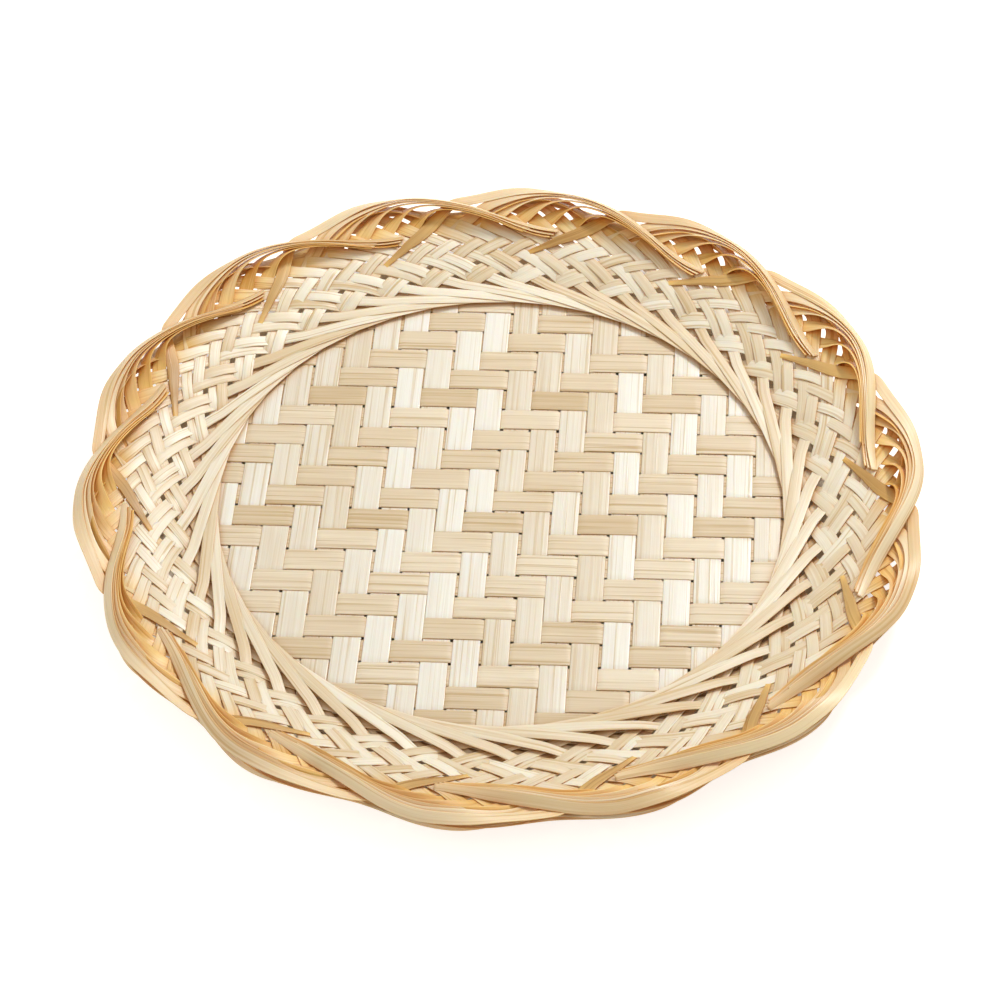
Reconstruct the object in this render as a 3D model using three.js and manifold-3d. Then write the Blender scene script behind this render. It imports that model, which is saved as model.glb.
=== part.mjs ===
import * as THREE from 'three';
import { mergeVertices } from 'three/addons/utils/BufferGeometryUtils.js';
import Module from 'manifold-3d';

// A round bamboo tray. All sizes are in millimetres and +Z is up.
// Two sets of flat strips make a twilled base mat. Narrow strips lie as a ring on both faces of the
// mat's edge, climb a flared wall where they cross over and under, and end in a scalloped rim.

// The circle that the narrow strips touch sets the size of the tray.
const TOUCH_RADIUS = 116.35;

// Base mat, clamped between the strips of the collar. The weft lies a little closer than the warp.
const CLAMPED_EDGE = 5.45;
const STRIPS_EACH_WAY = 21;
const STRIP_GAP = 0.6;
const WEFT_CLOSENESS = 0.9716;
const WARP_SHIFT = 0.276;
const WEFT_SHIFT = 0.151;
const MAT_TURN = THREE.MathUtils.degToRad(-2);
const WARP_LEAN = THREE.MathUtils.degToRad(2);
const BAMBOO = 0.4;
const LAYER_GAP = 0.1;

// Collar and wall: pairs of narrow strips, each touching the inner circle once
const GROUPS = 14;
const PAIRS_PER_GROUP = 3;
const PAIRS = GROUPS * PAIRS_PER_GROUP;
const WALL_STRIP = 5.3;
const FIRST_TOUCH_DEG = 16.77;
const COLLAR_LIFT = 2.2;
const COLLAR_END_ROW = 4.855;
const REST_LENGTH = 3;
const WALL_FOOT_ROW = 5.1;
const WALL_TOP_ROW = 9.5;
const ROW_PITCH = 5.82;
const WALL_FOOT_HEIGHT = 3.97;
const WALL_SLOPE = 0.36;
const SHORTEST_EDGE = 0.03;
const COVER = 0.44;
const WEAVE = 0.7;
const SIDE_GAP = 0.05;
const LEAVING_LIFT = { upper: 2, lower: -0.35 };
const FOOT_LIFT = { spraySide: -0.95, lower: -1.75 };

// Rim bundles
const RIM_TILT = THREE.MathUtils.degToRad(10);
const ARCH = { width: 8, thickness: 2.6, span: 2.12, steps: 10, underside: 1.5 };
const SPRAY = { width: 8, thickness: 2.2, span: 1.6, steps: 5, topside: -1.25 };
const STRIP_JOINS = [0.07, 0.46, 0.9];
const JOIN_SHARE = 0.8;
const ARCH_SHIFT = THREE.MathUtils.degToRad(-3);

const CREAM = { color: 0xe9d3a6, roughness: 0.55, metalness: 0 };
const TAN = { color: 0xddc090, roughness: 0.58, metalness: 0 };
const HONEY = { color: 0xdcb577, roughness: 0.55, metalness: 0 };

const wasm = await Module();
wasm.setup();

const PAIR_ANGLE = (2 * Math.PI) / PAIRS;
const GROUP_ANGLE = (2 * Math.PI) / GROUPS;
const LAYER = BAMBOO + LAYER_GAP;

// A ring has four corners: outer and inner at the bottom, then inner and outer at the top.
const CORNERS = [0, 1, 2, 3];
const BOTTOM = 0;
const TOP = 2;

// Side faces from one ring of vertex numbers to the next, without the sides in skipped. Top and
// bottom fold along the same diagonal, so that a twisted strip keeps its thickness.
function stitch(indices, from, to, skipped = []) {
  for (const c of CORNERS) {
    const next = (c + 1) % CORNERS.length;
    const fold = c === TOP ? [from[next], to[c]] : [from[c], to[next]];
    if (!skipped.includes(c)) {
      indices.push(from[c], from[next], fold[1], fold[0], to[next], to[c]);
    }
  }
}

function meshOf(rings, indices) {
  const positions = rings.flat().flatMap((corner) => [corner.x, corner.y, corner.z]);
  const geometry = new THREE.BufferGeometry();
  geometry.setAttribute('position', new THREE.Float32BufferAttribute(positions, 3));
  geometry.setIndex(indices);
  return geometry;
}

const vertexNumbers = (ringNumber) => CORNERS.map((c) => CORNERS.length * ringNumber + c);

function closeEnds(indices, first, last) {
  indices.push(first[0], first[2], first[1], first[0], first[3], first[2]);
  indices.push(last[0], last[1], last[2], last[0], last[2], last[3]);
}

// Closed solid through a row of rings
function loftGeometry(rings) {
  const indices = [];
  for (let i = 0; i < rings.length - 1; i += 1) stitch(indices, vertexNumbers(i), vertexNumbers(i + 1));
  closeEnds(indices, vertexNumbers(0), vertexNumbers(rings.length - 1));
  return meshOf(rings, indices);
}

// Closed solid of two strips, where the lower one leaves the upper one's underside in the first of
// two stretches and joins it again in the second one
function forkedGeometry(upper, lower, leaving, joining) {
  const indices = [];
  for (let i = 0; i < upper.length - 1; i += 1) {
    const opened = i === leaving || i === joining;
    stitch(indices, vertexNumbers(i), vertexNumbers(i + 1), opened ? [BOTTOM] : []);
  }
  closeEnds(indices, vertexNumbers(0), vertexNumbers(upper.length - 1));
  const undersideOf = (near, far) => [far[0], far[1], near[1], near[0]];
  let from = undersideOf(vertexNumbers(leaving + 1), vertexNumbers(leaving));
  for (let i = 0; i < lower.length; i += 1) {
    const to = vertexNumbers(upper.length + i);
    stitch(indices, from, to);
    from = to;
  }
  stitch(indices, from, undersideOf(vertexNumbers(joining), vertexNumbers(joining + 1)));
  return meshOf([...upper, ...lower], indices);
}

function solidOf(geometry) {
  const bare = geometry.clone();
  bare.deleteAttribute('normal');
  bare.deleteAttribute('uv');
  const merged = mergeVertices(bare, 1e-4);
  return new wasm.Manifold(new wasm.Mesh({
    numProp: 3,
    vertProperties: new Float32Array(merged.attributes.position.array),
    triVerts: new Uint32Array(merged.index.array),
  }));
}

function geometryOf(solid) {
  const mesh = solid.getMesh();
  const geometry = new THREE.BufferGeometry();
  geometry.setAttribute('position', new THREE.BufferAttribute(mesh.vertProperties, 3));
  geometry.setIndex(new THREE.BufferAttribute(mesh.triVerts, 1));
  geometry.computeVertexNormals();
  return geometry;
}

// Ring across a flat strip: two edge points in plan, a height for each, and the bamboo's thickness
function bandRing(left, right) {
  const up = BAMBOO / 2;
  return [
    new THREE.Vector3(left.x, left.y, left.z - up),
    new THREE.Vector3(right.x, right.y, right.z - up),
    new THREE.Vector3(right.x, right.y, right.z + up),
    new THREE.Vector3(left.x, left.y, left.z + up),
  ];
}

// Base mat. The shifts are shares of a pitch.
const MAT_RADIUS = TOUCH_RADIUS + CLAMPED_EDGE;
const MAT_SIDES = 4 * GROUPS;
const warpPitch = (2 * MAT_RADIUS) / STRIPS_EACH_WAY;
const WARP = { pitch: warpPitch, shift: WARP_SHIFT * warpPitch };
const WEFT = { pitch: WEFT_CLOSENESS * warpPitch, shift: WEFT_SHIFT * warpPitch };
const cutterDepth = 8 * LAYER;
const cutterDisc = new THREE.CylinderGeometry(MAT_RADIUS, MAT_RADIUS, cutterDepth, MAT_SIDES);
const matCutter = solidOf(cutterDisc.rotateX(Math.PI / 2));
const middleStrip = (STRIPS_EACH_WAY - 1) / 2;
const matCentre = (set, number) => (number - middleStrip) * set.pitch + set.shift;
const warpCentre = (i) => matCentre(WARP, i);
const weftCentre = (j) => matCentre(WEFT, j);

// The warp leans a little; the weft stays level and its folds follow the lean.
const leaning = new THREE.Matrix4().makeShear(0, 0, Math.tan(WARP_LEAN), 0, 0, 0);

// Two over, two under, moving up one strip per column
const warpOnTop = (i, j) => (j - i - 1 + 4 * STRIPS_EACH_WAY) % 4 < 2;

function wovenStrip(own, crossed, centres, level) {
  const half = (own.pitch - STRIP_GAP) / 2;
  const crossedHalf = (crossed.pitch - STRIP_GAP) / 2;
  const reach = MAT_RADIUS + 1;
  const ringAt = (y, z) => bandRing({ x: half, y, z }, { x: -half, y, z });
  const rings = [ringAt(-reach, level(0))];
  for (let k = 0; k < centres.length - 1; k += 1) {
    if (level(k) !== level(k + 1)) {
      rings.push(ringAt(centres[k] + crossedHalf, level(k)));
      rings.push(ringAt(centres[k + 1] - crossedHalf, level(k + 1)));
    }
  }
  rings.push(ringAt(reach, level(centres.length - 1)));
  return loftGeometry(rings);
}

// The warp lies flat; the weft passes one layer over it or one layer under it.
function warpStrip(i) {
  return wovenStrip(WARP, WEFT, [0], () => 0).translate(warpCentre(i), 0, 0);
}

// Under the collar it keeps the last level that shows.
function weftStrip(j) {
  const columns = [...Array(STRIPS_EACH_WAY).keys()];
  const shows = (i) => Math.hypot(warpCentre(i), weftCentre(j)) < TOUCH_RADIUS - WALL_STRIP / 2;
  const nearestShown = (i) => {
    return i === middleStrip || shows(i) ? i : nearestShown(i + Math.sign(middleStrip - i));
  };
  const level = (i) => (warpOnTop(nearestShown(i), j) ? -LAYER : LAYER);
  const strip = wovenStrip(WEFT, WARP, columns.map(warpCentre), level);
  return strip.rotateZ(-Math.PI / 2).translate(0, weftCentre(j), 0);
}

function cutRound(geometry) {
  return geometryOf(solidOf(geometry.applyMatrix4(leaning)).intersect(matCutter));
}

// Wall rows are counted by how many pairs away the crossing pair touches the circle.
const footRadius = TOUCH_RADIUS / Math.cos((WALL_FOOT_ROW * PAIR_ANGLE) / 2);

function rowRadius(row) {
  if (row <= WALL_FOOT_ROW) return TOUCH_RADIUS / Math.cos((row * PAIR_ANGLE) / 2);
  return footRadius + (row - WALL_FOOT_ROW) * ROW_PITCH;
}

const FIRST_WALL_ROW = Math.ceil(WALL_FOOT_ROW);

const wallHeight = (radius) => WALL_FOOT_HEIGHT + WALL_SLOPE * (radius - footRadius);

// Half width of a pair as a share of the pair spacing, at a crossing row
function pairShare(row) {
  const alongLine = Math.sqrt(rowRadius(row) ** 2 - TOUCH_RADIUS ** 2);
  return Math.min(COVER, WALL_STRIP / (alongLine * PAIR_ANGLE));
}

// Edge points of the pair that touches at angle 0, where it meets the edge of the pair of that row
function wallRing(row, share, lift) {
  const edge = (side) => {
    const own = side * share;
    const radius = rowRadius(row - own);
    const angle = ((row + own) * PAIR_ANGLE) / 2;
    return {
      x: radius * Math.cos(angle),
      y: radius * Math.sin(angle),
      z: wallHeight(radius) + lift,
    };
  };
  return bandRing(edge(-1), edge(1));
}

// Ring of a straight collar strip, square to it
function collarRing(along, height) {
  const inner = { x: TOUCH_RADIUS - WALL_STRIP / 2, y: along, z: height };
  const outer = { x: TOUCH_RADIUS + WALL_STRIP / 2, y: along, z: height };
  return bandRing(outer, inner);
}

// Ring of a straight collar strip where it leaves the strip that crosses it in the last collar row
function collarLeavingRing(height) {
  const row = Math.floor(WALL_FOOT_ROW);
  const crossing = row * PAIR_ANGLE;
  const edge = (side) => {
    const x = TOUCH_RADIUS - side * (WALL_STRIP / 2);
    const y = (TOUCH_RADIUS + WALL_STRIP / 2 - x * Math.cos(crossing)) / Math.sin(crossing);
    return { x, y, z: height };
  };
  return bandRing(edge(-1), edge(1));
}

// The half that turns the other way is the mirror image of the first one.
function mirrored(ring) {
  const flip = (corner) => new THREE.Vector3(corner.x, -corner.y, corner.z);
  return ring.map(flip);
}

const rimPoint = (angle, out, lift) => {
  const top = rowRadius(WALL_TOP_ROW);
  const radius = top + out * Math.cos(RIM_TILT) - lift * Math.sin(RIM_TILT);
  const z = wallHeight(top) + out * Math.sin(RIM_TILT) + lift * Math.cos(RIM_TILT);
  return new THREE.Vector3(radius * Math.cos(angle), radius * Math.sin(angle), z);
};

function rimRing(angle, out, lift, width, thickness) {
  return [
    rimPoint(angle, out + width / 2, lift - thickness / 2),
    rimPoint(angle, out - width / 2, lift - thickness / 2),
    rimPoint(angle, out - width / 2, lift + thickness / 2),
    rimPoint(angle, out + width / 2, lift + thickness / 2),
  ];
}

const ease = (t) => {
  const clamped = Math.min(1, Math.max(0, t));
  return (1 - Math.cos(Math.PI * clamped)) / 2;
};

// An arch starts inside the wall top and swings out under the arch before it. It passes over the
// next start and comes back down inside, where its thin end is tucked behind the start after that.
// Its course is told in group spacings. It thickens as its three pairs join.
const archThickness = (t) => 1 + (ARCH.thickness - 1) * ease(t / 0.9) - 1.4 * ease((t - 1.8) / 0.3);
const archWidth = (t) => ARCH.width - 3.5 * ease((t - 1.85) / 0.27);
const archOut = (t) => (t < 1 ? -2 + 19.4 * ease(t) : 17.4 - 10.4 * ease(t - 1));
const archLift = (t) => {
  const overTheNext = 2.9 * ease((t - 0.92) / 0.45) - 1.1 * ease((t - 1.9) / 0.22);
  return ARCH.underside + archThickness(t) / 2 + overTheNext;
};

// A spray is the other three pairs, gathered outside the wall and leaning the other way.
const sprayThickness = (t) => 0.8 + (SPRAY.thickness - 0.8) * ease(t / 0.9) - 1.2 * ease((t - 1.25) / 0.35);
const sprayWidth = (t) => SPRAY.width - 4 * ease((t - 1.25) / 0.35);
const sprayOut = (t) => 1 + 14.6 * ease(t / 1.3) - 0.8 * ease((t - 1.3) / 0.3);
const sprayLift = (t) => SPRAY.topside - sprayThickness(t) / 2;

// Angle at which the halves of the middle pair reach the wall top
const topAngle = (WALL_TOP_ROW * PAIR_ANGLE) / 2;
const archStart = PAIR_ANGLE - topAngle + ARCH_SHIFT;
const sprayStart = -PAIR_ANGLE + topAngle;

function archRing(t, angle = archStart - t * GROUP_ANGLE) {
  return rimRing(angle, archOut(t), archLift(t), archWidth(t), archThickness(t));
}

function sprayRing(t, angle = sprayStart + t * GROUP_ANGLE) {
  return rimRing(angle, sprayOut(t), sprayLift(t), sprayWidth(t), sprayThickness(t));
}

function bundleRings(bundle, ringAt) {
  const stations = [...Array(bundle.steps + 1).keys()];
  return stations.map((i) => ringAt((bundle.span * i) / bundle.steps));
}

// Collar strips lie like the blades of an iris: each rises along its length by one layer
// per neighbour, so that it lies on the next strip and under the last one.
const touchSpacing = TOUCH_RADIUS * PAIR_ANGLE;
const COLLAR_END = TOUCH_RADIUS * Math.tan((COLLAR_END_ROW * PAIR_ANGLE) / 2);
const collarRise = (along) => (LAYER * along) / touchSpacing;

// The mat hangs above the lowest face of the collar, which rests at height 0.
const MAT_HEIGHT = COLLAR_LIFT + collarRise(COLLAR_END) + BAMBOO / 2;

// Upper strip of a pair, from its arch to its spray, touching the circle at angle 0. Place is its
// turn in the group: the arch picks up the last place first, the spray the first one.
function upperStrip(place) {
  const rings = [];
  const ownTurn = (place - 1) * PAIR_ANGLE;
  const joinArch = STRIP_JOINS[PAIRS_PER_GROUP - 1 - place];
  const archAngle = archStart - joinArch * GROUP_ANGLE - ownTurn;
  rings.push(rimRing(archAngle, archOut(joinArch), archLift(joinArch), ARCH.width * JOIN_SHARE, BAMBOO));
  for (let row = WALL_TOP_ROW; row > FIRST_WALL_ROW; row -= 1) {
    rings.push(mirrored(wallRing(row, pairShare(row), 0)));
  }
  rings.push(mirrored(wallRing(FIRST_WALL_ROW - COVER, COVER - SIDE_GAP, 0)));
  rings.push(mirrored(collarRing(COLLAR_END, MAT_HEIGHT + COLLAR_LIFT - collarRise(COLLAR_END))));
  rings.push(collarRing(COLLAR_END, MAT_HEIGHT + COLLAR_LIFT + collarRise(COLLAR_END)));
  rings.push(collarLeavingRing(MAT_HEIGHT + LEAVING_LIFT.upper));
  for (let row = FIRST_WALL_ROW; row < WALL_TOP_ROW; row += 1) {
    const share = pairShare(row);
    const lift = row % 2 === 0 ? -WEAVE : WEAVE;
    rings.push(wallRing(row - share, row === FIRST_WALL_ROW ? share - SIDE_GAP : share, lift));
    rings.push(wallRing(row + share, share, lift));
  }
  const share = pairShare(WALL_TOP_ROW);
  rings.push(wallRing(Math.ceil(WALL_TOP_ROW) - share, share, FOOT_LIFT.spraySide));
  const joinSpray = STRIP_JOINS[place];
  const sprayAngle = sprayStart + joinSpray * GROUP_ANGLE - ownTurn;
  const joinWidth = SPRAY.width * JOIN_SHARE;
  rings.push(rimRing(sprayAngle, sprayOut(joinSpray), sprayLift(joinSpray), joinWidth, BAMBOO));
  return rings;
}

// Lower strip of a pair: under the mat's edge, joining the upper one on its way up the wall
function lowerStrip() {
  const low = MAT_HEIGHT - COLLAR_LIFT;
  return [
    mirrored(wallRing(FIRST_WALL_ROW + COVER, COVER - SIDE_GAP, FOOT_LIFT.lower)),
    mirrored(collarRing(COLLAR_END, low - collarRise(COLLAR_END))),
    mirrored(collarRing(COLLAR_END - REST_LENGTH, low - collarRise(COLLAR_END))),
    collarRing(COLLAR_END, low + collarRise(COLLAR_END)),
    collarLeavingRing(MAT_HEIGHT + LEAVING_LIFT.lower),
  ];
}

// Stretches of the upper strip, counted from its arch end, under which the lower strip leaves and joins
const ARCH_SIDE_FORK = 3;
const SPRAY_SIDE_FORK = 9;

function groupSolid() {
  const arch = solidOf(loftGeometry(bundleRings(ARCH, archRing).reverse()));
  let solid = arch.add(solidOf(loftGeometry(bundleRings(SPRAY, sprayRing))));
  for (let place = 0; place < PAIRS_PER_GROUP; place += 1) {
    const turn = new THREE.Matrix4().makeRotationZ((place - 1) * PAIR_ANGLE);
    const pair = forkedGeometry(upperStrip(place), lowerStrip(), ARCH_SIDE_FORK, SPRAY_SIDE_FORK);
    solid = solid.add(solidOf(pair.applyMatrix4(turn)));
  }
  return solid.simplify(SHORTEST_EDGE);
}

const tray = new THREE.Group();

function addPiece(parent, name, geometry, finish) {
  const mesh = new THREE.Mesh(geometry, new THREE.MeshStandardMaterial(finish));
  mesh.name = name;
  parent.add(mesh);
  return mesh;
}

const mat = new THREE.Group();
mat.position.z = MAT_HEIGHT;
mat.rotation.z = MAT_TURN;
tray.add(mat);
for (let i = 0; i < STRIPS_EACH_WAY; i += 1) {
  const number = String(i + 1).padStart(2, '0');
  addPiece(mat, `mat_warp_${number}`, cutRound(warpStrip(i)), CREAM);
  addPiece(mat, `mat_weft_${number}`, cutRound(weftStrip(i)), TAN);
}

const groupGeometry = geometryOf(groupSolid());
for (let g = 0; g < GROUPS; g += 1) {
  const number = String(g + 1).padStart(2, '0');
  const piece = addPiece(tray, `wall_strips_${number}`, groupGeometry.clone(), HONEY);
  piece.rotation.z = THREE.MathUtils.degToRad(FIRST_TOUCH_DEG) + g * GROUP_ANGLE;
}

export default tray;
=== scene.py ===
"""Looks of a round bamboo tray: a twilled mat, a woven wall of narrow strips, a scalloped rim.

Sizes in the dataclasses are in millimetres and degrees; meshes are made in metres, +Z up, in the
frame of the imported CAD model. Every strip is a rounded section carried along a computed path.
"""

import logging
import math
from dataclasses import dataclass, field
from enum import Enum
from typing import Sequence

import bpy
import numpy as np
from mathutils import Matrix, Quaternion, Vector


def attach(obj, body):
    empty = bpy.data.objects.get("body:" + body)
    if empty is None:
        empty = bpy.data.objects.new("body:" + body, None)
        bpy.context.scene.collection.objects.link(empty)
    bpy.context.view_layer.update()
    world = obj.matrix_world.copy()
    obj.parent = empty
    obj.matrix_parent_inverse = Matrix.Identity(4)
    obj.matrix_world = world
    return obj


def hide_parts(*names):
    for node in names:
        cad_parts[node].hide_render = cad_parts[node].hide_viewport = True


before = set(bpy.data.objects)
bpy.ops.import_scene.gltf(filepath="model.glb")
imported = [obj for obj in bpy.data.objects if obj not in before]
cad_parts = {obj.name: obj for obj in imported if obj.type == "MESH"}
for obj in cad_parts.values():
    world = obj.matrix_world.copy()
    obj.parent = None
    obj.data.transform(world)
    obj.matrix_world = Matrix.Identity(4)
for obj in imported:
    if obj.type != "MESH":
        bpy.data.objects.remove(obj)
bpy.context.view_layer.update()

MM = 0.001
LEAST_LENGTH = 1e-12
GRAIN_FIELD = 9.0
MIX_FACTOR, MIX_A, MIX_B, MIX_RESULT = 0, 6, 7, 2
Socket = bpy.types.NodeSocket
LOG = logging.getLogger("bamboo_tray")


class MatSet(Enum):
    """The two sets of strips that make the mat."""

    WARP = "warp"
    WEFT = "weft"


class Single(Enum):
    """The two strips of a pair: one runs over the edge of the mat, its partner under it."""

    UPPER = 0
    LOWER = 1


class Bundle(Enum):
    """Which way a strip leaves the circle that it touches: clockwise to an arch or to a spray."""

    ARCH = -1
    SPRAY = 1


def ease(share: np.ndarray) -> np.ndarray:
    """Half a cosine wave from 0 to 1 as the share goes from 0 to 1, level outside that range.

    Args:
        share: any array of numbers.
    Returns:
        (1 - cos(pi * share)) / 2 of the share clamped to 0..1.
    """
    return (1 - np.cos(np.pi * np.clip(share, 0, 1))) / 2


def smooth_min(a: np.ndarray, b: np.ndarray, rounding: float) -> np.ndarray:
    """The lesser of two curves with a rounded corner: (a + b - sqrt((a - b)^2 + rounding^2)) / 2.

    Args:
        a: first curve.
        b: second curve.
        rounding: size of the corner, in the curves' own unit.
    Returns:
        The blended curve.
    """
    return 0.5 * (a + b - np.sqrt((a - b) ** 2 + rounding**2))


def softened(values: np.ndarray, reach: int) -> np.ndarray:
    """Running mean with a bell-shaped weight along the first axis, ends held.

    Args:
        values: samples along a path, one row each.
        reach: samples to each side that take part.
    Returns:
        The softened samples, same shape.
    """
    weight = np.hanning(2 * reach + 3)[1:-1]
    weight /= weight.sum()
    first, last = np.repeat(values[:1], reach, 0), np.repeat(values[-1:], reach, 0)
    padded = np.concatenate([first, values, last])
    columns = padded.reshape(len(padded), -1)
    mixed = np.stack([np.convolve(c, weight, "valid") for c in columns.T], -1)
    return mixed.reshape(values.shape)


def normalised(vectors: np.ndarray) -> np.ndarray:
    """Vectors divided by their own lengths along the last axis."""
    lengths = np.linalg.norm(vectors, axis=-1, keepdims=True)
    return vectors / np.maximum(lengths, LEAST_LENGTH)


@dataclass(frozen=True)
class Fade:
    """An eased change from 0 to 1 that starts at one value and is whole a reach further on."""

    start: float
    reach: float

    def at(self, values: np.ndarray) -> np.ndarray:
        """The share at each value: ease((value - start) / reach)."""
        return ease((values - self.start) / self.reach)


@dataclass
class StripMesh:
    """Vertices, quads and per-corner data of one strip, ready to be joined with others."""

    points: np.ndarray
    quads: np.ndarray
    uv: np.ndarray
    tone: np.ndarray
    rim: np.ndarray


@dataclass(frozen=True)
class StripSection:
    """Rounded flat section of a split bamboo strip, as shares of half its width and thickness."""

    across: tuple = (-1.0, -0.97, -0.88, 0.0, 0.88, 0.97, 1.0, 0.96, 0.0, -0.96)
    height: tuple = (0.0, 0.72, 0.98, 1.0, 0.98, 0.72, 0.0, -0.85, -1.0, -0.85)
    # Painted light: how much paler the upper face is made, so that it keeps less of the rim's
    # colour.
    top_light_paling: float = 0.75
    grain_step: float = 3.7

    def carry(
        self,
        path: np.ndarray,
        normal: np.ndarray,
        width: np.ndarray,
        thickness: float,
        tone: float,
        shift: float,
        rim: np.ndarray,
        painted_top_light: np.ndarray,
    ) -> StripMesh:
        """Carries the section along a path.

        A point is path + across * half the width * side + height * half the thickness * up. The
        side is the path's direction crossed with the normal, and up is the side crossed with the
        direction, so the strip keeps square to its path.

        Args:
            path: (n, 3) centre line in millimetres.
            normal: (n, 3) rough facing of the strip's broad side.
            width: (n,) full width in millimetres.
            thickness: bamboo thickness in millimetres.
            tone: this strip's own place between the pale and the deep colour.
            shift: where its grain starts in the grain field, in metres.
            rim: (n,) share of the rim's colour along the path.
            painted_top_light: (n,) share by which the upper face keeps less of that colour: painted
                light that makes it paler.
        Returns:
            The closed strip.
        """
        along = normalised(np.gradient(path, axis=0))
        side = normalised(np.cross(along, normal))
        up = np.cross(side, along)
        across = np.asarray(self.across)
        height = np.asarray(self.height)
        half = width[:, None, None] / 2
        points = path[:, None] + across[None, :, None] * half * side[:, None]
        points = points + height[None, :, None] * (thickness / 2) * up[:, None]
        n, m = points.shape[:2]
        numbers = np.arange(n * m).reshape(n, m)
        turned = np.roll(numbers, -1, axis=1)
        quads = np.stack([numbers[:-1], numbers[1:], turned[1:], turned[:-1]], -1).reshape(-1, 4)
        steps = np.linalg.norm(np.diff(path, axis=0), axis=1)
        length = np.concatenate([[0.0], np.cumsum(steps)]) * MM
        u = np.repeat(length[:, None], m, 1) + self.grain_step * shift
        v = across[None, :] * width[:, None] / 2 * MM + shift
        uv = np.stack([u, v], -1).reshape(-1, 2)
        # Painted light: the upper face is made paler where light falls on it; the underside keeps
        # the full rim colour.
        kept = 1 - self.top_light_paling * painted_top_light[:, None] * (height[None] > 0)
        rim_share = (rim[:, None] * kept).ravel()
        return StripMesh(points.reshape(-1, 3), quads, uv, np.full(n * m, tone), rim_share)

    def caps(self, rings: int) -> list[tuple]:
        """Faces that close the first and the last ring of a strip of so many rings."""
        m = len(self.across)
        last = (rings - 1) * m
        return [tuple(range(m)), tuple(range(last + m - 1, last - 1, -1))]


SECTION = StripSection()


def put_piece(
    name: str, strips: Sequence[StripMesh], material: bpy.types.Material
) -> bpy.types.Object:
    """Joins strips into one object at the origin, with its grain map and strip attributes.

    Args:
        name: the piece's name.
        strips: strips made by StripSection.carry.
        material: the finish.
    Returns:
        The new object.
    """
    m = len(SECTION.across)
    faces: list = []
    start = 0
    for strip in strips:
        faces.extend((strip.quads + start).tolist())
        caps = SECTION.caps(len(strip.points) // m)
        faces.extend([tuple(i + start for i in cap) for cap in caps])
        start += len(strip.points)
    points = np.concatenate([s.points for s in strips]) * MM
    mesh = bpy.data.meshes.new(name)
    mesh.from_pydata(points.tolist(), [], faces)
    corners = np.empty(len(mesh.loops), dtype=np.int32)
    mesh.loops.foreach_get("vertex_index", corners)
    uv = np.concatenate([s.uv for s in strips])
    mesh.uv_layers.new(name="grain").data.foreach_set("uv", uv[corners].ravel())
    for attribute, values in (("tone", [s.tone for s in strips]), ("rim", [s.rim for s in strips])):
        layer = mesh.attributes.new(attribute, "FLOAT", "POINT")
        layer.data.foreach_set("value", np.concatenate(values).astype(np.float32))
    mesh.polygons.foreach_set("use_smooth", np.ones(len(mesh.polygons), dtype=bool))
    mesh.materials.append(material)
    mesh.update()
    piece = bpy.data.objects.new(name, mesh)
    bpy.context.scene.collection.objects.link(piece)
    LOG.info("%s: %d strips, %d faces", name, len(strips), len(mesh.polygons))
    return piece


@dataclass(frozen=True)
class Bench:
    """Adds nodes to one node tree and joins them."""

    tree: bpy.types.NodeTree

    def feed(self, socket: Socket, value: object) -> None:
        """Gives an input its value: a node's output, a number, a vector or an opaque colour."""
        if isinstance(value, Socket):
            self.tree.links.new(value, socket)
        elif isinstance(value, tuple) and socket.type == "RGBA":
            socket.default_value = (*value, 1.0)
        else:
            socket.default_value = value

    def fill(self, node: bpy.types.Node, inputs: dict) -> None:
        """Feeds a node's inputs, told by name or number."""
        for key, value in inputs.items():
            self.feed(node.inputs[key], value)

    def node(self, kind: str, inputs: dict, **properties: object) -> bpy.types.Node:
        """A new node with its properties set and its inputs fed."""
        new = self.tree.nodes.new(kind)
        for key, value in properties.items():
            setattr(new, key, value)
        self.fill(new, inputs)
        return new

    def maths(self, operation: str, a: object, b: object, clamp: bool = False) -> Socket:
        """The output of a maths node of two values."""
        inputs = {0: a, 1: b}
        return self.node("ShaderNodeMath", inputs, operation=operation, use_clamp=clamp).outputs[0]

    def mixed(self, factor: object, a: object, b: object, blend: str = "MIX") -> Socket:
        """The output of a colour mix of two colours."""
        inputs = {MIX_FACTOR: factor, MIX_A: a, MIX_B: b}
        mix = self.node("ShaderNodeMix", inputs, data_type="RGBA", blend_type=blend)
        return mix.outputs[MIX_RESULT]


@dataclass(frozen=True)
class Grain:
    """One layer of grain: how fine it is along and across the strip, and how much it shows."""

    along: float
    across: float
    detail: float
    strength: float


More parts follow.
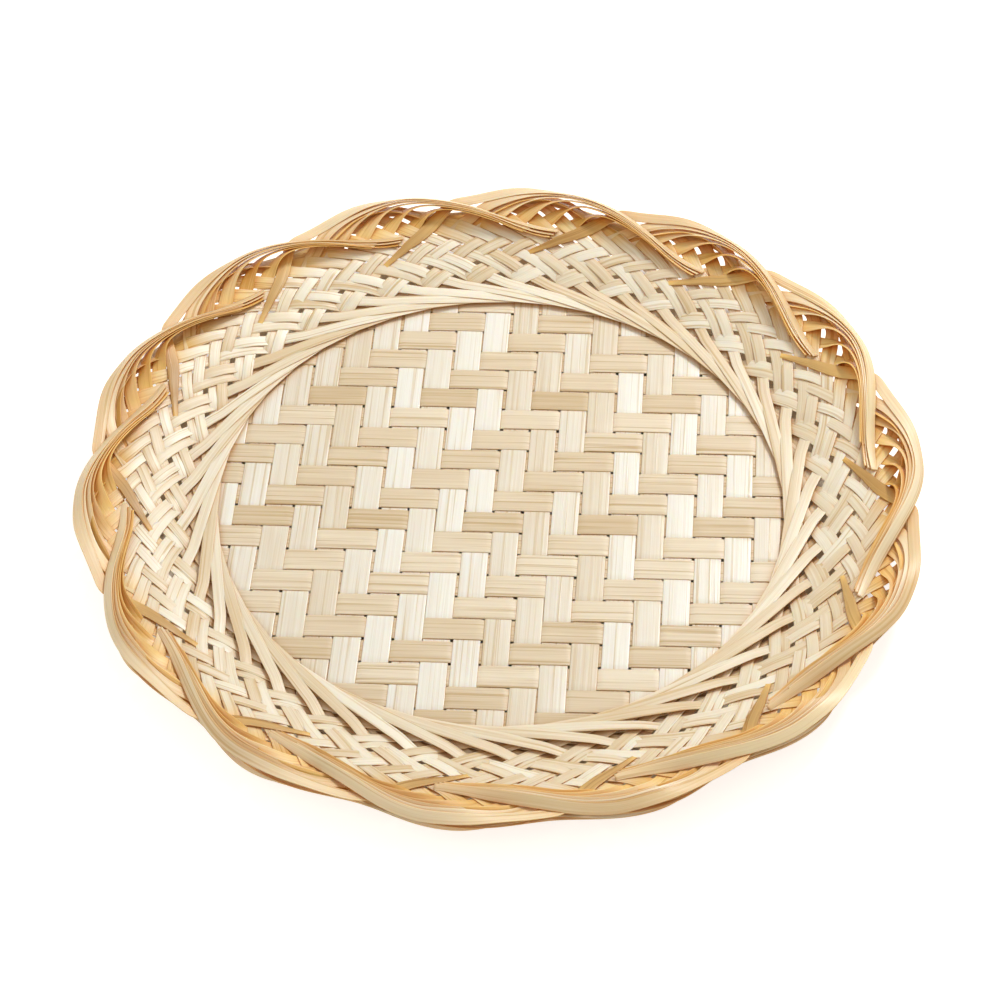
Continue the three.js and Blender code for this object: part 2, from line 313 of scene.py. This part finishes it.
@dataclass(frozen=True)
class SplitBamboo:
    """Finish of a split bamboo strip: fibres along the strip, its own tone, gloss and relief.

    Its lengths are in metres.
    """

    name: str
    pale: tuple
    deep: tuple
    roughness: float
    # Rim colours: the strips' own honey, partly painted warm shade.
    rim_pale: tuple = (0.9, 0.58, 0.18)
    rim_deep: tuple = (0.66, 0.34, 0.06)
    # Skin colours: the bamboo's darker skin, and on the leader partly painted shade.
    skin_and_shade_pale: tuple = (0.5, 0.3, 0.1)
    skin_and_shade_deep: tuple = (0.3, 0.15, 0.035)
    # Painted shade: a warm brown that multiplies the colour where ambient occlusion finds the near
    # surroundings closed in, within the reach below.
    painted_crevice_shade: tuple = (0.82, 0.5, 0.18)
    painted_shade_reach: float = 0.0045
    painted_shade_samples: int = 6
    specular: float = 0.45
    relief: float = 0.35
    relief_depth: float = 0.0004
    translucence: float = 0.3
    glow_radius: tuple = (1.0, 0.55, 0.2)
    glow_scale: float = 0.0012
    fibre_grains: tuple = (Grain(9.0, 900.0, 3.0, 0.5), Grain(22.0, 3400.0, 2.0, 0.35))
    cloud: Grain = Grain(14.0, 60.0, 2.0, 0.35)
    lines: Grain = Grain(6.0, 620.0, 2.0, 0.5)
    line_from: float = 0.57
    line_to: float = 0.72
    line_relief: float = -0.5
    noise_roughness: float = 0.6
    contrast: float = 1.6
    gloss_change: float = 0.5

    def stretched(self, bench: Bench, grain: Grain) -> Socket:
        """Noise of one grain layer, stretched along the strip."""
        place = bench.node("ShaderNodeUVMap", {}, uv_map="grain").outputs[0]
        factors = (grain.along, grain.across, 1.0)
        stretch = bench.node("ShaderNodeVectorMath", {0: place, 1: factors}, operation="MULTIPLY")
        inputs = {
            "Vector": stretch.outputs[0],
            "Scale": 1.0,
            "Detail": grain.detail,
            "Roughness": self.noise_roughness,
        }
        return bench.node("ShaderNodeTexNoise", inputs, noise_dimensions="2D").outputs["Fac"]

    def wave(self, bench: Bench, grain: Grain) -> Socket:
        """One grain layer as a change about nought: (noise - 0.5) * strength."""
        centred = bench.maths("SUBTRACT", self.stretched(bench, grain), 0.5)
        return bench.maths("MULTIPLY", centred, grain.strength)

    def colour(self, bench: Bench, total: Socket) -> Socket:
        """Colour of the strip for a sum of grain layers.

        Pale goes to deep by clamp(tone + contrast * total), in the wall's, the rim's and the
        skin's colours. The rim attribute's first 1 leads from the wall's to the rim's, the rest on
        to the skin's. The rim's honey colour is partly the strips' own and partly painted warm
        shade;
        the skin's colour is partly the bamboo's skin and, on the leader, partly painted shade. In
        crevices, where little of the near surroundings is open, the colour is multiplied by a warm
        brown: this is painted shade.
        """
        tone = bench.node("ShaderNodeAttribute", {}, attribute_name="tone").outputs["Fac"]
        rim = bench.node("ShaderNodeAttribute", {}, attribute_name="rim").outputs["Fac"]
        share = bench.maths("ADD", tone, bench.maths("MULTIPLY", total, self.contrast), clamp=True)
        wall_colour = bench.mixed(share, self.pale, self.deep)
        rim_colour = bench.mixed(share, self.rim_pale, self.rim_deep)
        skin_and_shade_colour = bench.mixed(share, self.skin_and_shade_pale, self.skin_and_shade_deep)
        fleshy = bench.mixed(rim, wall_colour, rim_colour)
        skin_and_shade_share = bench.maths("SUBTRACT", rim, 1.0, clamp=True)
        plain = bench.mixed(skin_and_shade_share, fleshy, skin_and_shade_colour)
        # Painted shade: the colour multiplied by warm brown, shown where ambient occlusion finds
        # the surroundings closed.
        painted_shade_brown = bench.mixed(1.0, plain, self.painted_crevice_shade, blend="MULTIPLY")
        reach = {"Distance": self.painted_shade_reach}
        open_share = bench.node("ShaderNodeAmbientOcclusion", reach, samples=self.painted_shade_samples)
        return bench.mixed(open_share.outputs["AO"], painted_shade_brown, plain)

    def material(self) -> bpy.types.Material:
        """Builds the node material.

        The sum of the grain layers, each a noise stretched along the strip, drives the colour; its
        fibres also drive the relief and the roughness. Sparse dark lines are the peaks of one
        more stretched noise.

        Returns:
            The material.
        """
        made = bpy.data.materials.new(self.name)
        made.use_nodes = True
        made.node_tree.nodes.clear()
        bench = Bench(made.node_tree)
        limits = {"From Min": self.line_from, "From Max": self.line_to}
        value = self.stretched(bench, self.lines)
        peak = bench.node("ShaderNodeMapRange", {"Value": value, **limits})
        line = bench.maths("MULTIPLY", peak.outputs[0], self.lines.strength)
        total = line
        fibres = bench.maths("MULTIPLY", line, self.line_relief)
        for grain in self.fibre_grains:
            wave = self.wave(bench, grain)
            total = bench.maths("ADD", total, wave)
            fibres = bench.maths("ADD", fibres, wave)
        total = bench.maths("ADD", total, self.wave(bench, self.cloud))
        change = bench.maths("MULTIPLY", fibres, self.gloss_change)
        bump = bench.node(
            "ShaderNodeBump",
            {"Strength": self.relief, "Distance": self.relief_depth, "Height": fibres},
        )
        inputs = {
            "Base Color": self.colour(bench, total),
            "Roughness": bench.maths("ADD", change, self.roughness, clamp=True),
            "Specular IOR Level": self.specular,
            "Subsurface Weight": self.translucence,
            "Subsurface Radius": self.glow_radius,
            "Subsurface Scale": self.glow_scale,
            "Normal": bump.outputs[0],
        }
        shader = bench.node("ShaderNodeBsdfPrincipled", inputs)
        bench.node("ShaderNodeOutputMaterial", {0: shader.outputs[0]})
        return made


WARP_BAMBOO = SplitBamboo("warp_bamboo", (0.885, 0.81, 0.7), (0.68, 0.54, 0.36), 0.36)
WEFT_BAMBOO = SplitBamboo("weft_bamboo", (0.82, 0.68, 0.5), (0.56, 0.4, 0.21), 0.45)
WALL_BAMBOO = SplitBamboo("wall_bamboo", (0.9, 0.79, 0.62), (0.66, 0.48, 0.26), 0.4)


@dataclass
class Mat:
    """Twilled base mat of wide flat strips: two over, two under, moving up one strip a column."""

    radius: float = 121.8
    strips: int = 21
    gap: float = 0.6
    end_gap: float = 0.4
    least_reach: float = 10.0
    weft_closeness: float = 0.9716
    warp_shift: float = 0.276
    weft_shift: float = 0.151
    turn: float = -2.0
    lean: float = 2.0
    height: float = 3.67
    bamboo: float = 0.4
    rise: float = 0.24
    ramp: float = 3.2
    wander: float = 0.25
    wander_lengths: tuple = (28.0, 60.0)
    wander_phase: float = 6.28
    sideways: float = 0.2
    width_shares: tuple = (0.965, 1.0)
    tones: tuple = (0.05, 0.75)
    samples: int = 170
    seed: int = 11

    @property
    def pitch(self) -> dict:
        """Spacing of each set, in millimetres."""
        warp = 2 * self.radius / self.strips
        return {MatSet.WARP: warp, MatSet.WEFT: self.weft_closeness * warp}

    def centres(self, which: MatSet) -> np.ndarray:
        """Centre lines of a set: (number - middle) * pitch + shift, in millimetres."""
        shift = self.warp_shift if which is MatSet.WARP else self.weft_shift
        numbers = np.arange(self.strips) - (self.strips - 1) / 2
        return numbers * self.pitch[which] + shift * self.pitch[MatSet.WARP]

    def warp_on_top(self) -> np.ndarray:
        """Table of whether warp i passes over weft j: (j - i - 1) modulo 4 is under 2."""
        i, j = np.meshgrid(np.arange(self.strips), np.arange(self.strips), indexing="ij")
        return (j - i - 1) % 4 < 2

    def heights(self, which: MatSet, number: int, along: np.ndarray) -> np.ndarray:
        """Heights of a strip's centre line, in millimetres.

        The height is the first level plus, for each change of level, an eased step centred on the
        gap between the two crossed strips.
        """
        warp_over = self.warp_on_top()
        over = warp_over[number] if which is MatSet.WARP else ~warp_over[:, number]
        centres = self.centres(MatSet.WEFT if which is MatSet.WARP else MatSet.WARP)
        level = np.where(over, 1.0, -1.0) * self.rise
        middles = (centres[1:] + centres[:-1]) / 2
        steps = ease((along[:, None] - middles[None]) / self.ramp + 0.5) * np.diff(level)[None]
        return self.height + level[0] + steps.sum(1)

    def strip(self, which: MatSet, number: int, rng: np.random.Generator) -> StripMesh:
        """One mat strip, rising and dipping by a layer where the crossing order changes.

        Its length is cut where it meets the mat's circle.

        Args:
            which: its set.
            number: its place in the set, from 0.
            rng: source of its width, tone and wander.
        Returns:
            The strip.
        """
        own = self.centres(which)[number]
        reach = math.sqrt(max(self.radius**2 - own**2, self.least_reach**2)) - self.end_gap
        along = np.linspace(-reach, reach, self.samples)
        phase = along / rng.uniform(*self.wander_lengths) + rng.uniform(0, self.wander_phase)
        wander = self.wander * np.sin(phase)
        lateral = own + wander + rng.uniform(-self.sideways, self.sideways)
        lean = math.tan(math.radians(self.lean))
        if which is MatSet.WARP:
            local = np.stack([lateral + lean * along, along], -1)
        else:
            local = np.stack([along + lean * lateral, lateral], -1)
        turn = math.radians(self.turn)
        x = local[:, 0] * math.cos(turn) - local[:, 1] * math.sin(turn)
        y = local[:, 0] * math.sin(turn) + local[:, 1] * math.cos(turn)
        path = np.stack([x, y, self.heights(which, number, along)], -1)
        up = np.tile([0.0, 0.0, 1.0], (len(path), 1))
        width = (self.pitch[which] - self.gap) * rng.uniform(*self.width_shares)
        if np.abs(own) + width / 2 > self.radius:
            width = 2 * (self.radius - np.abs(own))
        tone = rng.uniform(*self.tones)
        shift = rng.uniform(0, GRAIN_FIELD)
        widths, none = np.full(len(path), width), np.zeros(len(path))
        return SECTION.carry(path, up, widths, self.bamboo, tone, shift, none, none)

    def build(self) -> None:
        """Makes the 42 mat strips, each standing for its own CAD node."""
        rng = np.random.default_rng(self.seed)
        finishes = {MatSet.WARP: WARP_BAMBOO.material(), MatSet.WEFT: WEFT_BAMBOO.material()}
        for which in MatSet:
            for number in range(self.strips):
                name = f"{which.value}_ribbon_{number + 1:02d}"
                piece = put_piece(name, [self.strip(which, number, rng)], finishes[which])
                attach(piece, "root")
                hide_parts(f"mat_{which.value}_{number + 1:02d}")


@dataclass
class RimBundle:
    """Course of one rim bundle, told in group spacings t from its start.

    Each profile is a start value and eased changes (amount, at, over):
    value = start + sum of amount * ease((t - at) / over).
    """

    kind: Bundle
    start: float
    end: float
    stagger: float
    out: tuple
    lift: tuple
    tilt: tuple
    fan: tuple
    stack: float
    rounding: float
    joining: float
    free_lift: float
    wander: float = 0.3
    wander_up: float = 0.4
    wander_lengths: tuple = (0.5, 1.0)

    @staticmethod
    def profile(values: tuple, t: np.ndarray) -> np.ndarray:
        """A start value and eased changes (amount, at, over), evaluated at t."""
        total = np.full_like(t, values[0])
        for amount, at, over in values[1:]:
            total = total + amount * ease((t - at) / over)
        return total


def arch_bundle() -> RimBundle:
    """The bundle that arches along the top edge of the rim."""
    return RimBundle(
        kind=Bundle.ARCH,
        start=-35.14,
        end=2.04,
        stagger=-0.012,
        out=(13.5, (2.5, 0.5, 0.6), (-17.2, 1.15, 1.0)),
        lift=(1.0, (0.4, 0.25, 0.4), (3.8, 0.6, 0.55), (-4.2, 1.55, 0.55)),
        tilt=(22.0, (-8.0, 0.3, 0.4), (-53.0, 0.72, 0.5), (20.0, 1.75, 0.35)),
        fan=(0.3, (0.6, 0.5, 0.5), (-0.45, 1.15, 0.45)),
        stack=0.42,
        rounding=9.0,
        joining=13.0,
        free_lift=-0.45,
    )


def spray_bundle() -> RimBundle:
    """The bundle that leans the other way on the outside of the rim."""
    return RimBundle(
        kind=Bundle.SPRAY,
        start=32.14,
        end=1.84,
        stagger=0.03,
        out=(15.0, (-6.0, 0.35, 0.48), (6.8, 0.83, 0.5), (-10.0, 1.35, 0.5)),
        lift=(0.3, (-1.9, 0.4, 0.43), (3.0, 0.85, 0.45), (-3.4, 1.4, 0.4)),
        tilt=(20.0, (-8.0, 0.2, 0.4), (-50.0, 0.8, 0.5), (24.0, 1.4, 0.4)),
        fan=(0.8, (-0.3, 0.5, 0.35), (0.4, 0.85, 0.4), (-0.7, 1.4, 0.4)),
        stack=0.3,
        rounding=6.0,
        joining=8.0,
        free_lift=0.35,
    )


@dataclass(frozen=True)
class Leader:
    """The strip that leads an arch: it lies on top where it leaves the weave, and is darker there,
    partly for its skin and partly as painted shade.

    Its fades go by millimetres past the wall's top.
    """

    place: int = 2
    freeing: Fade = Fade(-7.0, 4.0)
    rising: Fade = Fade(-7.0, 3.0)
    lift: float = 1.1
    rounding: float = 1.0
    # How far the leader's colour goes past the rim's to the skin's: partly its skin, partly painted
    # shade.
    skin: float = 0.75
    skin_and_shade_on: Fade = Fade(-12.0, 3.0)
    skin_and_shade_off: Fade = Fade(12.0, 6.0)
    pinch: float = 0.55
    pinch_on: Fade = Fade(-14.0, 3.5)
    pinch_off: Fade = Fade(-10.5, 10.0)


@dataclass
class WovenWall:
    """Collar, wall and rim: 84 narrow strips in 14 groups of six, each one continuous ribbon."""

    touch_radius: float = 116.35
    groups: int = 14
    pairs_per_group: int = 3
    first_touch: float = 17.3
    foot_row: float = 5.1
    top_row: float = 9.5
    row_pitch: float = 5.82
    foot_height: float = 4.7
    slope: float = 0.3315
    foot_turn: float = 60.0
    past_turn: float = 75.0
    mat_height: float = 3.67
    collar_lift: float = 2.2
    collar_layer: float = 0.5
    handover: Fade = Fade(118.5, 14.5)
    width: float = 4.75
    bamboo: float = 0.4
    weave: float = 0.42
    weave_rows: tuple = (5, 12)
    under_row: int = 6
    twill_from: int = 15
    twill_overs: tuple = (15, 18, 19)
    step_share: float = 0.75
    least_step: float = 0.8
    close_share: float = 0.7
    parting: Fade = Fade(137.0, 9.0)
    lower_drop: float = 0.45
    freeing: Fade = Fade(-1.5, 4.0)
    rim_tilt: float = 10.0
    rimmed: Fade = Fade(-3.0, 9.0)
    taper: float = 0.4
    taper_over: float = 0.4
    spread_out: float = 0.36
    skin_shares: tuple = (0.0, 0.0, 0.0, 0.15, 0.4)
    # Painted light: by each strip's turn in the bundle, how much paler its upper face is made.
    top_light_shares: tuple = (0.9, 1.0, 0.9, 0.6, 0.3, 0.1)
    width_shares: tuple = (0.93, 1.03)
    tones: tuple = (0.0, 0.8)
    path_softening: int = 3
    normal_softening: int = 4
    colour_softening: int = 6
    samples: int = 380
    seed: int = 5
    seed_step: int = 17
    leader: Leader = Leader()
    arch: RimBundle = field(default_factory=arch_bundle)
    spray: RimBundle = field(default_factory=spray_bundle)

    @property
    def strips_per_group(self) -> int:
        """Strips in a group, two to a pair."""
        return 2 * self.pairs_per_group

    @property
    def group_angle(self) -> float:
        """Degrees from one group to the next."""
        return 360 / self.groups

    @property
    def pair_angle(self) -> float:
        """Degrees from one pair to the next."""
        return 360 / (self.groups * self.pairs_per_group)

    @property
    def foot_radius(self) -> float:
        """Radius at which the wall starts, in millimetres."""
        return self.touch_radius / math.cos(math.radians(self.foot_row * self.pair_angle / 2))

    @property
    def top_radius(self) -> float:
        """Radius at which the wall ends and the rim starts."""
        return self.foot_radius + (self.top_row - self.foot_row) * self.row_pitch

    def line_radius(self, swing: np.ndarray) -> np.ndarray:
        """Radius of a strip's own course, so many degrees from where it touches the circle.

        Up to the foot it is a straight tangent, touch radius / cos(swing); on the wall it grows
        evenly with the swing; past the wall's top it is a straight tangent again, turned to
        meet the wall.
        """
        half = self.pair_angle / 2
        row = swing / half
        straight = self.touch_radius / np.cos(np.radians(np.minimum(swing, self.foot_turn)))
        wall = self.foot_radius + (row - self.foot_row) * self.row_pitch
        lag = self.top_row * half - math.degrees(math.acos(self.touch_radius / self.top_radius))
        past = self.touch_radius / np.cos(np.radians(np.clip(swing - lag, 0, self.past_turn)))
        return np.where(row <= self.foot_row, straight, np.where(row <= self.top_row, wall, past))

    def t_over_u(
        self, n: np.ndarray, t_single: int | np.ndarray, u_single: int | np.ndarray
    ) -> np.ndarray:
        """Whether the spray-side strip passes over the arch-side strip n pairs further on.

        In the collar it does, in row 6 it passes under, in row 7 over, and from there on the
        single strips make a twill, two over and two under, counted in half rows.
        """
        half_rows = 2 * n + u_single - t_single
        twill = np.isin(half_rows, self.twill_overs)
        return np.where(half_rows >= self.twill_from, twill, n != self.under_row)

    def weave_height(self, swing: np.ndarray, kind: Bundle, single: Single) -> np.ndarray:
        """Height of a strip over or under the wall's middle surface, in units of the weave.

        It is +1 or -1 at each crossing and eases from one to the next.

        Args:
            swing: degrees from the touch point, along one half of the strip.
            kind: which half.
            single: which strip of its pair.
        Returns:
            Heights from -1 to 1.
        """
        rows = np.arange(*self.weave_rows)
        n = np.repeat(rows, 2)
        other = np.tile([0, 1], len(rows))
        mine = single.value
        spread = self.single_spread(self.line_radius(n * self.pair_angle / 2))
        if kind is Bundle.SPRAY:
            over = self.t_over_u(n, mine, other)
            gap = n * self.pair_angle + spread * (other - mine)
        else:
            over = ~self.t_over_u(n, other, mine)
            gap = n * self.pair_angle + spread * (mine - other)
        order = np.argsort(gap)
        level = np.where(over, 1.0, -1.0)[order]
        places = gap[order] / 2
        middles = (places[1:] + places[:-1]) / 2
        reach = np.maximum(self.step_share * np.diff(places), self.least_step)
        steps = ease((swing[:, None] - middles[None]) / reach[None] + 0.5) * np.diff(level)[None]
        return level[0] + steps.sum(1)

    def single_spread(self, radius: np.ndarray) -> np.ndarray:
        """Degrees between the two strips of a pair: close low on the wall, even at its top."""
        share = self.close_share + (1 - self.close_share) * self.parting.at(radius)
        return share * self.pair_angle / 2

    def half(
        self,
        pair: int,
        single: Single,
        bundle: RimBundle,
        join: int,
        skip: int,
        rng: np.random.Generator,
    ) -> dict:
        """Course of one half of a strip, from its touch point to its end in the rim.

        Its distance past the wall top is the smooth lesser of its own straight course and of the
        bundle's course; its height goes over from the weave's to the bundle's as the two meet.

        Args:
            pair: place of the pair in its group, 0 to 2.
            single: which strip of the pair.
            bundle: the rim bundle that it joins.
            join: its turn to join the bundle, 0 to 5.
            skip: how many groups on the bundle is that it joins, 0 or 1.
            rng: source of its wander in the bundle and of its skin there.
        Returns:
            Arrays of path, normal, width share, rim colour share and the share of painted light on
            the upper face.
        """
        sign = bundle.kind.value
        own = (pair - 1) * self.pair_angle
        start = bundle.start - sign * skip * self.group_angle
        end = bundle.end - bundle.stagger * (self.strips_per_group - 1 - join)
        last = sign * start + end * self.group_angle
        swing = np.linspace(0, last - sign * own, self.samples // 2)
        line = self.line_radius(swing)
        side = self.single_spread(line) * (single.value - 0.5)
        angle = own + side + sign * swing
        t = sign * (angle - start) / self.group_angle
        straight = line - self.top_radius
        course = RimBundle.profile(bundle.out, t)
        leads = bundle.kind is Bundle.ARCH and join == 0
        free = (self.leader.freeing if leads else self.freeing).at(straight)
        rounding = self.leader.rounding if leads else bundle.rounding
        past = straight + free * (smooth_min(straight, course, rounding) - straight)
        near = free * ease(1 - (course - past) / bundle.joining)

        weave = self.weave * self.weave_height(swing, bundle.kind, single)
        weave = weave - self.lower_drop * single.value * (1 - self.parting.at(line))
        weave = weave + free * (bundle.free_lift - weave)
        if leads:
            weave = weave + self.leader.rising.at(straight) * (self.leader.lift - weave)
        lift = (1 - near) * weave + near * RimBundle.profile(bundle.lift, t)
        wall_tilt = math.degrees(math.atan(self.slope))
        tilt = wall_tilt * (1 - near) + near * RimBundle.profile(bundle.tilt, t)
        turns = t[:, None] / rng.uniform(*bundle.wander_lengths, 2) + rng.uniform(0, 1, 2)
        wander = near[:, None] * np.sin(2 * np.pi * turns) * bundle.wander
        inward = (self.strips_per_group - 1) / 2 - join
        fan = near * inward * RimBundle.profile(bundle.fan, t) + wander[:, 0]
        stack = near * inward * bundle.stack * -sign + bundle.wander_up * wander[:, 1]
        rim_rise = math.tan(math.radians(self.rim_tilt))
        rake = np.where(past < 0, self.slope, rim_rise)
        cos_tilt, sin_tilt = np.cos(np.radians(tilt)), np.sin(np.radians(tilt))
        radius = self.top_radius + past + fan * cos_tilt - stack * sin_tilt
        radius = radius - near * lift * math.sin(math.radians(self.rim_tilt))
        top_height = self.foot_height + self.slope * (self.top_radius - self.foot_radius)
        height = top_height + rake * past + lift + fan * sin_tilt + stack * cos_tilt

        along = self.touch_radius * np.tan(np.radians(np.minimum(swing, self.foot_turn)))
        level = self.collar_lift if single is Single.UPPER else -self.collar_lift
        rise = self.collar_layer * along / (self.touch_radius * math.radians(self.pair_angle))
        collar = self.mat_height + level + sign * rise
        handover = self.handover.at(line)
        height = collar * (1 - handover) + height * handover
        tilt = tilt * handover
        turn = np.radians(angle)
        path = np.stack([radius * np.cos(turn), radius * np.sin(turn), height], -1)
        low, high = -np.sin(np.radians(tilt)), np.cos(np.radians(tilt))
        normal = np.stack([low * np.cos(turn), low * np.sin(turn), high], -1)

        rimmed = self.rimmed.at(past)
        tapered = self.taper * ease((t - (t[-1] - self.taper_over)) / self.taper_over)
        share = 1 - tapered + self.spread_out * rimmed * (1 - near)
        # Rim colour share: the strips' own honey colour, partly painted warm shade.
        colour = np.maximum(near, rimmed) * (1 + near * rng.choice(self.skin_shares))
        if leads:
            leader = self.leader
            # The leader darkens to the skin's colour: partly its skin, partly painted shade.
            skin_and_painted_shade = leader.skin_and_shade_on.at(straight) * (1 - leader.skin_and_shade_off.at(straight))
            colour = np.maximum(colour, skin_and_painted_shade * (1 + leader.skin))
            pinched = leader.pinch_on.at(straight) * (1 - leader.pinch_off.at(straight))
            share = share - leader.pinch * pinched
        # Painted light on the upper faces of the bundled strips.
        top_lit = near * self.top_light_shares[join]
        return {"path": path, "normal": normal, "width": share, "rim": colour, "painted_top_light": top_lit}

    def strip(self, pair: int, single: Single, rng: np.random.Generator) -> StripMesh:
        """One whole strip from its end in an arch, through the collar, to its end in a spray.

        Counted along the rim, strip 2 of a group leads an arch, strips 1 and 0 follow, and strips
        5, 4 and 3 join the arch of the group before, which passes above them.
        """
        place = 2 * pair + single.value
        join = (self.leader.place - place) % self.strips_per_group
        arch = self.half(pair, single, self.arch, join, int(place > self.leader.place), rng)
        spray = self.half(pair, single, self.spray, place, 0, rng)
        joined = {k: np.concatenate([arch[k][:0:-1], spray[k]]) for k in arch}
        path = softened(joined["path"], self.path_softening)
        normal = normalised(softened(joined["normal"], self.normal_softening))
        width = self.width * rng.uniform(*self.width_shares) * joined["width"]
        tone = rng.uniform(*self.tones)
        shift = rng.uniform(0, GRAIN_FIELD)
        rim = softened(joined["rim"], self.colour_softening)
        painted_top_light = softened(joined["painted_top_light"], self.colour_softening)
        return SECTION.carry(path, normal, width, self.bamboo, tone, shift, rim, painted_top_light)

    def group(self, number: int) -> list[StripMesh]:
        """The six strips of one group, turned to their place round the tray."""
        rng = np.random.default_rng(self.seed + self.seed_step * number)
        turn = math.radians(self.first_touch + number * 360 / self.groups)
        cos_turn, sin_turn = math.cos(turn), math.sin(turn)
        spin = np.array([[cos_turn, sin_turn, 0], [-sin_turn, cos_turn, 0], [0, 0, 1]])
        strips = []
        for pair in range(self.pairs_per_group):
            for single in Single:
                strip = self.strip(pair, single, rng)
                strip.points = strip.points @ spin
                strips.append(strip)
        return strips

    def build(self) -> None:
        """Makes the 14 groups, each standing for its own CAD node."""
        finish = WALL_BAMBOO.material()
        for number in range(self.groups):
            piece = put_piece(f"wall_ribbons_{number + 1:02d}", self.group(number), finish)
            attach(piece, "root")
            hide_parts(f"wall_strips_{number + 1:02d}")


def aimed_back(back: Vector) -> Quaternion:
    """Turn of a camera or lamp that looks against a direction."""
    return (-back).to_track_quat("-Z", "Y")


@dataclass
class Studio:
    """Camera at the photograph's angle, a pale floor and soft light from behind on the right.

    Sizes are in metres.
    """

    elevation: float = 48.5
    distance: float = 1.23
    target: tuple = (0.0, 0.0, 0.004)
    lens: float = 109.44
    sensor: float = 36.0
    shift: tuple = (-0.001, 0.004)
    floor_half: float = 6.0
    floor_level: float = -0.0002
    floor_open: tuple = (0.8, 0.71, 0.58)
    floor_roughness: float = 0.9
    floor_specular: float = 0.1
    floor_glow: float = 0.72
    glow_from: float = 0.146
    glow_full: float = 0.156
    ambient: float = 0.58
    key_power: float = 14.0
    key_place: tuple = (0.62, 0.8, 1.1)
    key_size: float = 0.36
    fill_power: float = 4.0
    fill_place: tuple = (-0.9, -0.8, 1.2)
    fill_size: float = 1.2

    def camera(self) -> None:
        """Sets the camera looking at the target from the front, at its elevation."""
        data = bpy.data.cameras.new("camera")
        data.lens = self.lens
        data.sensor_width = self.sensor
        data.shift_x, data.shift_y = self.shift
        camera = bpy.data.objects.new("camera", data)
        angle = math.radians(self.elevation)
        back = Vector((0.0, -math.cos(angle), math.sin(angle)))
        camera.location = Vector(self.target) + back * self.distance
        camera.rotation_mode = "QUATERNION"
        camera.rotation_quaternion = aimed_back(back)
        bpy.context.scene.collection.objects.link(camera)
        bpy.context.scene.camera = camera

    @staticmethod
    def seen_share(bench: Bench) -> Socket:
        """One where a ray shows the surroundings as such: camera, glossy or transmission rays."""
        rays = bench.node("ShaderNodeLightPath", {})
        total = rays.outputs["Is Camera Ray"]
        for kind in ("Is Glossy Ray", "Is Transmission Ray"):
            total = bench.maths("ADD", total, rays.outputs[kind], clamp=True)
        return total

    def floor_material(self) -> bpy.types.Material:
        """Matt pale paper, seen a little brighter than it is lit outside the tray's foot.

        From below it is clear, so that the tray's underside can be looked at.
        """
        material = bpy.data.materials.new("floor_paper")
        material.use_nodes = True
        tree = material.node_tree
        bench = Bench(tree)
        place = bench.node("ShaderNodeTexCoord", {}).outputs["Object"]
        distance = bench.node("ShaderNodeVectorMath", {0: place}, operation="LENGTH")
        limits = {"From Min": self.glow_from, "From Max": self.glow_full}
        open_floor = bench.node(
            "ShaderNodeMapRange",
            {"Value": distance.outputs["Value"], **limits},
            interpolation_type="SMOOTHSTEP",
        )
        seen = bench.maths("MULTIPLY", self.seen_share(bench), open_floor.outputs[0])
        shader = tree.nodes["Principled BSDF"]
        inputs = {
            "Base Color": self.floor_open,
            "Roughness": self.floor_roughness,
            "Specular IOR Level": self.floor_specular,
            "Emission Color": (1.0, 1.0, 1.0),
            "Emission Strength": bench.maths("MULTIPLY", seen, self.floor_glow),
        }
        bench.fill(shader, inputs)
        clear = bench.node("ShaderNodeBsdfTransparent", {})
        below = bench.node("ShaderNodeNewGeometry", {}).outputs["Backfacing"]
        sides = {0: below, 1: shader.outputs[0], 2: clear.outputs[0]}
        either = bench.node("ShaderNodeMixShader", sides)
        bench.fill(tree.nodes["Material Output"], {0: either.outputs[0]})
        return material

    def floor(self) -> None:
        """Lays the floor just below the tray."""
        s, level = self.floor_half, self.floor_level
        mesh = bpy.data.meshes.new("floor")
        corners = [(-s, -s, level), (s, -s, level), (s, s, level), (-s, s, level)]
        mesh.from_pydata(corners, [], [(0, 1, 2, 3)])
        mesh.materials.append(self.floor_material())
        floor = bpy.data.objects.new("floor", mesh)
        bpy.context.scene.collection.objects.link(floor)

    def lamp(self, name: str, place: tuple, size: float, power: float) -> None:
        """Hangs a square soft lamp that points at the tray."""
        data = bpy.data.lights.new(name, "AREA")
        data.shape = "SQUARE"
        data.size = size
        data.energy = power
        lamp = bpy.data.objects.new(name, data)
        lamp.location = Vector(place)
        lamp.rotation_mode = "QUATERNION"
        lamp.rotation_quaternion = aimed_back(Vector(place))
        bpy.context.scene.collection.objects.link(lamp)

    def world(self) -> None:
        """Even white surroundings: plain ambient light, and full white where they are seen."""
        world = bpy.data.worlds.new("surroundings")
        bpy.context.scene.world = world
        world.use_nodes = True
        bench = Bench(world.node_tree)
        limits = {"To Min": self.ambient, "To Max": 1.0}
        level = bench.node("ShaderNodeMapRange", {"Value": self.seen_share(bench), **limits})
        white = {"Color": (1.0, 1.0, 1.0), "Strength": level.outputs[0]}
        bench.fill(world.node_tree.nodes["Background"], white)

    def build(self) -> None:
        """Sets up camera, floor, lamps, surroundings and the plain view transform."""
        self.camera()
        self.floor()
        self.lamp("key_lamp", self.key_place, self.key_size, self.key_power)
        self.lamp("fill_lamp", self.fill_place, self.fill_size, self.fill_power)
        self.world()
        bpy.context.scene.view_settings.view_transform = "Standard"


def main() -> None:
    """Builds the studio and the tray's sub-assemblies in order."""
    logging.basicConfig(level=logging.INFO, format="%(message)s")
    for made in (Studio(), Mat(), WovenWall()):
        made.build()
        LOG.info("%s built", type(made).__name__)


if __name__ == "__main__":
    main()
